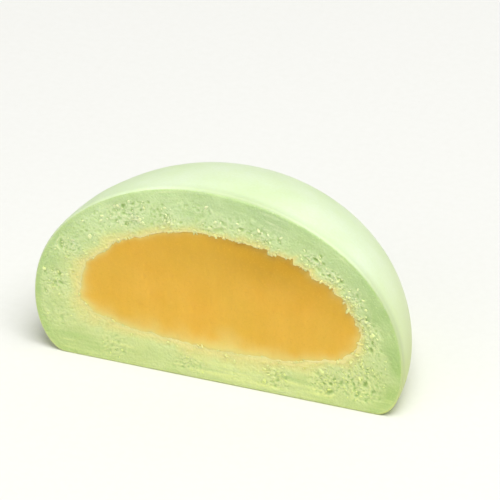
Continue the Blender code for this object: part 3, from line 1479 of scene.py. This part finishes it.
        # The left and the right sides are painted shade.
        left = self.left_painted_shade * self.shape.toward(self.left_side, x, z)
        return np.maximum.reduce([self.top_tint * self.dragged(x, z), self.pressed(x, z), left])

    def band_green(self, x: np.ndarray, z: np.ndarray, closed: np.ndarray, share: float) -> np.ndarray:
        """How green the band under the skin is, in clouds: denser crumb, and painted shade at its sides.

        Args:
            x: across, in millimetres.
            z: up, in millimetres.
            closed: how far its pores are closed.
            share: how far the row is from the skin to the seam, 0 to 1.

        Returns:
            The green at each point, 0 for none.
        """
        band = self.closed_tint * closed + self.skin_tint * (1 - share**2)
        tint = self.plain_tint + (1 - self.plain_tint) * self.tinted(x, z)
        return band * (1 + self.tint_swing.at(x, z)) * tint

    def closed(self, x: np.ndarray, z: np.ndarray, from_skin: np.ndarray) -> np.ndarray:
        """How far the crumb's pores are closed, 0 to 1: under the skin, most where the blade dragged it.

        Args:
            x: across, in millimetres.
            z: up, in millimetres.
            from_skin: the distance to the skin.

        Returns:
            The share at each point.
        """
        width = self.band + self.top_band * self.dragged(x, z) + self.right_band * self.pressed(x, z)
        width = width * (1 + self.band_swing.at(x, z))
        coarse = self.relief.coarseness(x, z)
        fade = Ramp(width * self.band_outer + self.band_blur, width * self.band_inner)
        band = np.maximum(fade.at(from_skin) * self.band_in_coarse.at(coarse), self.sealed.at(from_skin))
        smeared = self.smear * self.smear_shown.at(self.smear_patches.at(x, z))
        smeared = np.maximum(smeared, self.base_closed * self.base.at(z))
        return np.maximum(band, smeared * self.smear_in_coarse.at(coarse))

    def streaks(
        self, x: np.ndarray, z: np.ndarray, from_skin: np.ndarray, closed: np.ndarray
    ) -> np.ndarray:
        """The pale and dark lines that the blade drew along the skin and along the base.

        Args:
            x: across, in millimetres.
            z: up, in millimetres.
            from_skin: the distance to the skin.
            closed: how far its pores are closed.

        Returns:
            -1 for dark to 1 for pale.
        """
        bearing = self.shape.bearing(x, z)
        low = self.base.at(z)
        lines = sum(line.at(from_skin, bearing) for line in self.streak_lines)
        lines = lines * (1 - low) + self.base_lines.at(x, z) * low
        shown = closed * (self.plain_streak + (1 - self.plain_streak) * self.dragged(x, z))
        shown = np.maximum(shown, self.base_streak * low)
        shown = shown * self.streak_shown.at(self.streak_patches.at(x, z))
        return np.clip(self.streak * lines * shown, -1.0, 1.0) * self.streak_from.at(from_skin)

    def cut_depth(
        self, x: np.ndarray, z: np.ndarray, from_skin: np.ndarray, from_seam: np.ndarray, closed: np.ndarray
    ) -> np.ndarray:
        """How deep the cut lies behind the knife's plane, without its pores.

        Args:
            x: across, in millimetres.
            z: up, in millimetres.
            from_skin: the distance to the skin.
            from_seam: the distance to the seam.
            closed: how far its pores are closed.

        Returns:
            The depths, in millimetres.
        """
        skin_edge = edge_round(from_skin, self.rim_radius + self.dragged_rim_radius * self.dragged(x, z))
        seam_edge = edge_round(from_seam, self.seam_edge(x, z))
        # Where the blade closed the crumb it left fine grooves along the skin.
        grooves = closed * self.grooves.at(from_skin, self.shape.bearing(x, z))
        uneven = self.cut_wave.at(x, z) + self.grain.at(x, z) + grooves
        return np.maximum(skin_edge + seam_edge + uneven * self.uneven_from.at(from_skin), -self.proudest)

    def seam_edge(self, x: np.ndarray, z: np.ndarray) -> np.ndarray:
        """How round the dough's edge is at the seam, in millimetres."""
        return self.seam_radius + self.proud_radius * self.seam.proudness(x, z)

    def stain(self, x: np.ndarray, z: np.ndarray, from_seam: np.ndarray) -> np.ndarray:
        """How much paste has soaked into the crumb, 0 to 1: a hair at the top, and more at the bottom left.

        Args:
            x: across, in millimetres.
            z: up, in millimetres.
            from_seam: the distance to the seam.

        Returns:
            The share of stain at each point.
        """
        soft = self.seam.softness(x, z)
        reach = (self.soak + self.soft_soak * soft) * (1 + self.soak_swing.at(x, z))
        return np.minimum(np.exp(-((from_seam / reach) ** self.soak_power)), 1 - self.soft_thinning * soft)

    def add_pocket(self, mesh: LoopMesh) -> None:
        """Adds the pocket behind the seam, to its tip at the back.

        Args:
            mesh: the mesh it goes into.
        """
        form = self.shape.filling(self.pocket_gap)
        offset = self.shape.filling_offset
        edge = self.pocket_edge()
        stained = {Spread.PORE: EVEN, Spread.STAIN: 1.0, Spread.BAND: 0.0, Spread.DRAG: EVEN}
        for behind in self.pocket_rows:
            smooth = self.shape.placed_slice(form, behind, self.fine, offset)
            # The torn edge fades into the smooth wall behind it.
            share = behind / self.pocket_torn
            loop = edge * (1 - share) + smooth * share
            loop[:, 1] = smooth[:, 1] + self.seam_edge(edge[:, 0], edge[:, 2])
            mesh.add(loop, DoughFace.CRUMB, stained)
        for behind in slice_depths(form.below[-1, 0], self.pocket_start, self.pocket_slices):
            mesh.add(self.shape.placed_slice(form, behind, 1, offset), DoughFace.CRUMB, stained)
        mesh.add(self.shape.tip(form, offset), DoughFace.CRUMB, stained)


@dataclass
class Paste:
    """The mung bean paste: its smeared face in the cut and its round back, as one closed mesh."""

    shape: BunShape
    seam: Seam
    dough: Dough
    finish: MungPaste = MungPaste()

    # The back and the wall behind the rim, which grips the pocket so that no gap shows.
    grip: float = 0.09
    slices: int = 16
    back_start: float = 3.1
    side_rows: tuple[float, ...] = (0.75, 1.3, 1.9)

    # The rim: a thin lip that feathers out over the crumb where the seam is soft, and an edge elsewhere.
    lip: float = 0.5
    lip_swing: SmoothNoise = SmoothNoise(0.5, 1.4, 57)
    feather: float = 0.13
    feather_reach: float = 1.2
    edge_radius: float = 0.1

    # The face: its level in the middle and at the rim, and what the blade left in it.
    face_pitch: float = 0.26
    jitter: float = 0.15
    rim_clear: float = 0.6
    net_seed: int = 51
    middle_set_back: float = 0.10
    set_back: float = -0.03
    proud_set_back: float = 0.5
    at_rim: Ramp = Ramp(4.0, 0.0)
    smear: SmoothNoise = SmoothNoise(0.14, (7.0, 11.2), 52)
    drag: SmoothNoise = SmoothNoise(0.035, (1.6, 9.6), 53)
    drag_slant: float = 0.12
    grain: SmoothNoise = SmoothNoise(0.022, 0.6, 54, layers=(1.0, 0.5))
    dents: int = 70
    dent_seed: int = 56
    dent_widths: tuple[float, float] = (0.2, 0.55)
    dent_heights: tuple[float, float] = (0.35, 1.4)
    dent_depths: tuple[float, float] = (0.03, 0.12)

    # The pale soaked edge, and painted shade at the top and the right, partly a deeper gold at the right.
    soak: float = 0.5
    soft_soak: float = 1.8
    soak_swing: SmoothNoise = SmoothNoise(0.4, 2.3, 55)
    soak_power: float = 1.2
    crisp_pale: float = 0.6
    crisp_side: Side = Side(168.0, 34.0)
    crispness: float = 0.72
    top_shade: float = 0.42
    right_shade: float = 0.65
    right_side: Side = Side(50.0, 38.0)
    right_reach: Ramp = Ramp(11.0, 1.0)

    def build(self) -> bpy.types.Object:
        """Makes the paste.

        Returns:
            The object, dressed and riding on the bun's body.
        """
        form = self.shape.filling(self.dough.pocket_gap + self.grip)
        offset, fine = self.shape.filling_offset, self.dough.fine
        mesh = LoopMesh()
        inner = {Spread.EDGE: 1.0, Spread.SHADE: 0.0}
        mesh.add(self.shape.tip(form, offset), 0, inner)
        for behind in slice_depths(form.below[-1, 0], self.back_start, self.slices)[::-1]:
            mesh.add(self.shape.placed_slice(form, behind, 1, offset), 0, inner)
        flat = self.shape.placed_slice(form, 0.0, fine, offset)[:, (0, 2)]
        away = outward(flat)
        torn = flat + away * self.seam.offsets(flat, fine)[:, None]
        for behind in self.side_rows[::-1]:
            # The wall fits the torn edge in front and the smooth pocket behind.
            loop = self.shape.placed_slice(form, behind, fine, offset)
            share = behind / self.side_rows[-1]
            loop[:, (0, 2)] = torn * (1 - share) + loop[:, (0, 2)] * share
            mesh.add(loop, 0, inner)
        lip = self.lip * self.seam.softness(*torn.T) * (1 + self.lip_swing.at(*torn.T))
        self.add_face(mesh, torn + away * lip[:, None])
        made = mesh.build("mung_bean_paste", self.dough.place)
        made.data.materials.append(self.finish.material())
        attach(made, BODY)
        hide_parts(PASTE_NODE)
        return made

    def add_face(self, mesh: LoopMesh, edge: np.ndarray) -> None:
        """Adds the face in the cut, an even net of triangles inside the rim.

        Args:
            mesh: the mesh, whose last loop is the wall behind the rim.
            edge: x and z round the rim.
        """
        flat = np.vstack([edge, self.net_points(edge)])
        count = len(edge)
        sides = [(index, (index + 1) % count) for index in range(count)]
        corners = [Vector(point) for point in flat.tolist()]
        _, _, triangles, origins, _, _ = delaunay_2d_cdt(corners, sides, [], INSIDE_ONLY, NET_WELD_MM)
        depth, values = self.face_depth(*flat.T, self.edge_gap(flat, edge))
        points = np.column_stack([flat[:, 0], depth, flat[:, 1]])
        start = mesh.total
        mesh.add(points[:count], 0, {name: value[:count] for name, value in values.items()})
        mesh.add_points(points[count:], {name: value[count:] for name, value in values.items()})
        source = [start + found[0] for found in origins]
        mesh.add_faces([tuple(source[corner] for corner in triangle) for triangle in triangles])

    def net_points(self, edge: np.ndarray) -> np.ndarray:
        """Points in uneven rows inside the rim, clear of it.

        Args:
            edge: x and z round the rim.

        Returns:
            x and z of each point.
        """
        draw = np.random.default_rng(self.net_seed)
        low, high = edge.min(0), edge.max(0)
        rise = self.face_pitch * math.sqrt(3) / 2
        x, z = np.meshgrid(np.arange(low[0], high[0], self.face_pitch), np.arange(low[1], high[1], rise))
        x[1::2] += self.face_pitch / 2
        points = np.column_stack([x.ravel(), z.ravel()])
        points += draw.uniform(-self.jitter, self.jitter, points.shape) * self.face_pitch
        points = points[inside(points, edge)]
        return points[self.edge_gap(points, edge) > self.rim_clear * self.face_pitch]

    @staticmethod
    def edge_gap(points: np.ndarray, edge: np.ndarray, batch: int = 2000) -> np.ndarray:
        """The distance from each point to the nearest point of the rim, worked out a batch at a time."""
        parts = np.array_split(points, len(points) // batch + 1)
        return np.concatenate([np.sqrt(((part[:, None] - edge) ** 2).sum(2)).min(1) for part in parts])

    def face_depth(
        self, x: np.ndarray, z: np.ndarray, gap: np.ndarray
    ) -> tuple[np.ndarray, dict[Spread, np.ndarray]]:
        """How deep the face lies behind the knife's plane, and what it carries for its finish.

        Args:
            x: across, in millimetres.
            z: up, in millimetres.
            gap: the distance to the rim.

        Returns:
            The depths in millimetres, and the values by name.
        """
        soft, near = self.seam.softness(x, z), self.at_rim.at(gap)
        at_seam = self.set_back + self.proud_set_back * self.seam.proudness(x, z)
        at_seam = at_seam + self.dough.cut_wave.at(x, z)
        depth = (self.middle_set_back + self.smear.at(x, z)) * (1 - near) + at_seam * near
        depth += self.drag.at(x + self.drag_slant * z, z) + self.grain.at(x, z) + self.dented(x, z)
        depth += edge_round(gap, self.edge_radius) * (1 - soft)
        depth += self.feather * soft * Ramp(self.lip * self.feather_reach, 0.0).at(gap)
        upward = Ramp(self.shape.filling_bottom, self.shape.filling_top).at(z)
        right = self.shape.toward(self.right_side, x, z) * self.right_reach.at(gap)
        reach = (self.soak + self.soft_soak * soft) * (1 + self.soak_swing.at(x, z))
        reach = reach * (1 - self.crispness * self.shape.toward(self.crisp_side, x, z))
        soaked = np.exp(-((np.maximum(gap - self.lip * soft, 0.0) / reach) ** self.soak_power))
        pale = (self.crisp_pale + (1 - self.crisp_pale) * soft) * soaked
        # Painted shade, darker toward the top and at the upper right.
        shade = self.top_shade * upward**2 + self.right_shade * right
        return depth, {Spread.EDGE: pale, Spread.SHADE: shade}

    def dented(self, x: np.ndarray, z: np.ndarray) -> np.ndarray:
        """The small dents and tears that the blade left in the paste.

        Args:
            x: across, in millimetres.
            z: up, in millimetres.

        Returns:
            Their depths, in millimetres.
        """
        draw = np.random.default_rng(self.dent_seed)
        depth = np.zeros(len(x))
        reach = (-self.shape.filling_radius, self.shape.filling_radius)
        rise = (self.shape.filling_bottom, self.shape.filling_top)
        spans = (reach, rise, self.dent_widths, self.dent_heights, self.dent_depths)
        for _ in range(self.dents):
            middle_x, middle_z, width, height, deep = (draw.uniform(*span) for span in spans)
            depth += deep * np.exp(-(((x - middle_x) / width) ** 2 + ((z - middle_z) / height) ** 2))
        return depth


def inside(points: np.ndarray, loop: np.ndarray) -> np.ndarray:
    """Which points lie inside a closed loop.

    Args:
        points: x and z of each point.
        loop: x and z round the loop.

    Returns:
        True for each point inside.
    """
    found = np.zeros(len(points), dtype=bool)
    for start, end in zip(loop, np.roll(loop, -1, axis=0)):
        spans = (start[1] > points[:, 1]) != (end[1] > points[:, 1])
        if spans.any():
            cross = start[0] + (end[0] - start[0]) * (points[:, 1] - start[1]) / (end[1] - start[1])
            found ^= spans & (points[:, 0] < cross)
    return found


@dataclass(frozen=True)
class CrumbKind:
    """One kind of loose crumb: how many, how big, how deep they sit and where they cling."""

    count: int
    smallest_mm: float
    largest_mm: float
    sunk_share: float
    seam_rows: int
    coarse_only: float


@dataclass
class TornCrumbs:
    """Loose crumbs that the knife pulled up, clinging to the open crumb and the torn seam, as one mesh."""

    dough: Dough
    finish: OpenCrumb = OpenCrumb(
        name="steamed_dough_crumb_torn_off",
        ground="#E8F2BA",
        body="#DDEBA6",
        # The crumbs' painted highlight and flecks toward the foot, and the painted shade of the foot.
        base_wall_highlight_and_fleck="#E2F088",
        shaded_foot="#D8E684",
        glow_mm=0.2,
    )
    kinds: tuple[CrumbKind, ...] = (
        CrumbKind(360, 0.12, 0.30, 0.45, 60, 0.85),
        CrumbKind(90, 0.16, 0.36, 0.50, 4, 0.0),
        CrumbKind(100, 0.24, 0.52, 0.62, 26, 1.0),
    )
    # Along the seam they cling where the dough stands proud and at the left, and seldom elsewhere.
    left_side: Side = Side(148.0, 22.0)
    seldom: float = 0.15
    clear_rows: int = 5
    # Low pore values, which the finish paints with the cell walls' highlight.
    pores: tuple[float, float] = (0.15, 0.4)
    stained: tuple[float, float] = (0.55, 1.0)
    lumps: int = 5
    lumpiness: float = 0.55
    lump_turns: float = 2.2
    lump_phase: float = 6.3
    longness: tuple[float, float] = (1.0, 1.8)
    thinness: tuple[float, float] = (0.5, 0.8)
    flatness: float = 0.6
    seed: int = 77

    def build(self) -> bpy.types.Object:
        """Makes the crumbs.

        Returns:
            The object, dressed and riding on the bun's body.
        """
        draw = np.random.default_rng(self.seed)
        ball, triangles = unit_ball()
        rows, stains = np.array(self.dough.cut_rows), np.array(self.dough.stain_rows)
        mesh = LoopMesh()
        for kind in self.kinds:
            for row, column in self.places(kind, rows, draw):
                size = kind.smallest_mm + (kind.largest_mm - kind.smallest_mm) * draw.uniform() ** 2
                middle = rows[row, column] - (0.0, size * (1 - 2 * kind.sunk_share), 0.0)
                mesh.add_faces([tuple(face) for face in (triangles + mesh.total).tolist()])
                points = self.lump(ball, size, draw) + middle
                values = {Spread.PORE: draw.uniform(*self.pores), Spread.BAND: 0.0, Spread.DRAG: EVEN}
                values[Spread.STAIN] = stains[row, column] * draw.uniform(*self.stained)
                mesh.add_points(points, values)
        made = mesh.build("torn_crumbs", self.dough.place)
        made.data.materials.append(self.finish.material())
        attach(made, BODY)
        return made

    def places(self, kind: CrumbKind, rows: np.ndarray, draw: np.random.Generator) -> list[tuple[int, int]]:
        """Draws where the crumbs of one kind cling.

        Args:
            kind: the kind.
            rows: the points of the cut, row by row from the skin to the seam.
            draw: the source of random numbers.

        Returns:
            The row and column of each crumb.
        """
        found: list[tuple[int, int]] = []
        while len(found) < kind.count:
            row = len(rows) - 1 - int(draw.integers(0, kind.seam_rows))
            column = int(draw.integers(0, rows.shape[1]))
            x, _, z = rows[row, column]
            coarse = self.dough.relief.coarseness(x, z)
            wanted = (1 - kind.coarse_only * (1 - coarse)) * self.dough.open_rows[row][column]
            if kind.coarse_only == 0.0:
                left = self.dough.shape.toward(self.left_side, x, z)
                wanted = self.seldom + (1 - self.seldom) * max(self.dough.seam.proudness(x, z), left)
            if row > self.dough.skin_edge_rows + self.clear_rows and draw.uniform() < wanted**2:
                found.append((row, column))
        return found

    def lump(self, ball: np.ndarray, size: float, draw: np.random.Generator) -> np.ndarray:
        """One crumb, a ball drawn out and dented at random.

        Args:
            ball: the points of a unit ball.
            size: about half its width, in millimetres.
            draw: the source of random numbers.

        Returns:
            Its points.
        """
        reach = np.ones(len(ball))
        for _ in range(self.lumps):
            direction = draw.normal(0.0, 1.0, 3)
            wave = np.sin(self.lump_turns * ball @ direction + draw.uniform(0, self.lump_phase))
            reach += self.lumpiness / math.sqrt(self.lumps) * wave
        stretch = np.array([1.0, draw.uniform(*self.longness), draw.uniform(*self.thinness)])
        turned = np.linalg.qr(draw.normal(0.0, 1.0, (3, 3)))[0]
        # Squeezed against the cut, so that none stands out like a thorn.
        return (ball * reach[:, None] * stretch * size) @ turned * (1.0, self.flatness, 1.0)


def unit_ball() -> tuple[np.ndarray, np.ndarray]:
    """The points and triangles of a ball of radius 1.

    Returns:
        The points, and three point numbers for each triangle.
    """
    mesh = bmesh.new()
    bmesh.ops.create_icosphere(mesh, subdivisions=2, radius=1.0)
    points = np.array([vertex.co[:] for vertex in mesh.verts])
    triangles = np.array([[vertex.index for vertex in face.verts] for face in mesh.faces])
    mesh.free()
    return points, triangles


# --------------------------------------------------------------------------------------------------------
# Studio
# --------------------------------------------------------------------------------------------------------


@dataclass(frozen=True)
class SoftLight:
    """One square soft light, aimed at the bun. Its lengths are in metres."""

    name: str
    azimuth: float
    elevation: float
    distance: float
    side: float
    watts: float
    tint: str


@dataclass
class Studio:
    """The white card, the soft lights and the camera. Lengths are in metres but for the sensor's."""

    card: StudioCard = StudioCard()
    card_side: float = 4.0
    sky: str = "#FFFFFF"
    sky_strength: float = 0.32
    azimuth: float = 20.74
    elevation: float = 31.16
    distance: float = 1.18
    sensor_mm: float = 36.0
    frame_width: float = 0.096
    aim_drop: float = 0.0015
    nearest: float = 0.05
    furthest: float = 20.0
    lights: tuple[SoftLight, ...] = (
        SoftLight("overhead_softbox", 42.0, 67.0, 1.6, 1.1, 26.4, "#FFFFFC"),
        SoftLight("front_fill", -25.0, 25.0, 1.8, 1.5, 4.9, "#FFFEFA"),
    )

    def build(self) -> None:
        """Lays the card, hangs the lights, lights the room and sets up the camera."""
        low, high = CAD_BOX
        middle = (low + high) / 2
        self.lay_card(low.z)
        for light in self.lights:
            self.hang(light, middle)
        self.light_room()
        self.set_camera(middle)
        bpy.context.scene.view_settings.view_transform = "Standard"

    def lay_card(self, height: float) -> None:
        """Lays the card at the bun's base.

        Args:
            height: the height of the base.
        """
        half = self.card_side / 2
        mesh = bpy.data.meshes.new("studio_card")
        corners = ((-half, -half), (half, -half), (half, half), (-half, half))
        mesh.from_pydata([(x, y, height) for x, y in corners], [], [(0, 1, 2, 3)])
        card = bpy.data.objects.new("studio_card", mesh)
        bpy.context.scene.collection.objects.link(card)
        mesh.materials.append(self.card.material())

    @staticmethod
    def aim(
        made: bpy.types.Object, target: Vector, azimuth: float, elevation: float, distance: float
    ) -> None:
        """Stands a light or the camera round the bun, turns it to the bun and links it to the scene.

        Args:
            made: the light or the camera.
            target: what it is turned to.
            azimuth: how far round to the right of the cut's front it stands, in degrees.
            elevation: how far up it stands, in degrees.
            distance: how far away it stands.
        """
        turn, rise = math.radians(azimuth), math.radians(elevation)
        away = Vector((math.sin(turn) * math.cos(rise), -math.cos(turn) * math.cos(rise), math.sin(rise)))
        made.location = target + away * distance
        made.rotation_euler = (-away).to_track_quat("-Z", "Y").to_euler()
        bpy.context.scene.collection.objects.link(made)

    def hang(self, light: SoftLight, target: Vector) -> None:
        """Hangs one light.

        Args:
            light: the light.
            target: what it is aimed at.
        """
        lamp = bpy.data.lights.new(light.name, "AREA")
        lamp.shape = "SQUARE"
        lamp.size = light.side
        lamp.energy = light.watts
        lamp.color = linear(light.tint)[:3]
        made = bpy.data.objects.new(light.name, lamp)
        self.aim(made, target, light.azimuth, light.elevation, light.distance)

    def light_room(self) -> None:
        """Lights the bun evenly from all round, as a white room does."""
        world = bpy.data.worlds.new("white_room")
        world.use_nodes = True
        background = world.node_tree.nodes["Background"]
        background.inputs["Color"].default_value = linear(self.sky)
        background.inputs["Strength"].default_value = self.sky_strength
        bpy.context.scene.world = world

    def set_camera(self, middle: Vector) -> None:
        """Sets up the camera.

        Args:
            middle: the middle of the bun.
        """
        lens = bpy.data.cameras.new("camera")
        lens.lens = self.sensor_mm * self.distance / self.frame_width
        lens.sensor_width = self.sensor_mm
        lens.clip_start = self.nearest
        lens.clip_end = self.furthest
        camera = bpy.data.objects.new("camera", lens)
        target = middle - Vector((0.0, 0.0, self.aim_drop))
        self.aim(camera, target, self.azimuth, self.elevation, self.distance)
        bpy.context.scene.camera = camera


def report(piece: bpy.types.Object) -> None:
    """Logs what a piece is made of."""
    triangles = sum(len(polygon.vertices) - 2 for polygon in piece.data.polygons)
    LOG.info("%s: %d points, %d triangles", piece.name, len(piece.data.vertices), triangles)


def main() -> None:
    """Builds the bun and the studio round it."""
    logging.basicConfig(level=logging.INFO, format="%(name)s: %(message)s")
    shape = BunShape()
    seam = Seam(shape)
    dough = Dough(shape, CrumbRelief(shape), seam)
    report(dough.build())
    report(Paste(shape, seam, dough).build())
    report(TornCrumbs(dough).build())
    Studio().build()


if __name__ == "__main__":
    main()
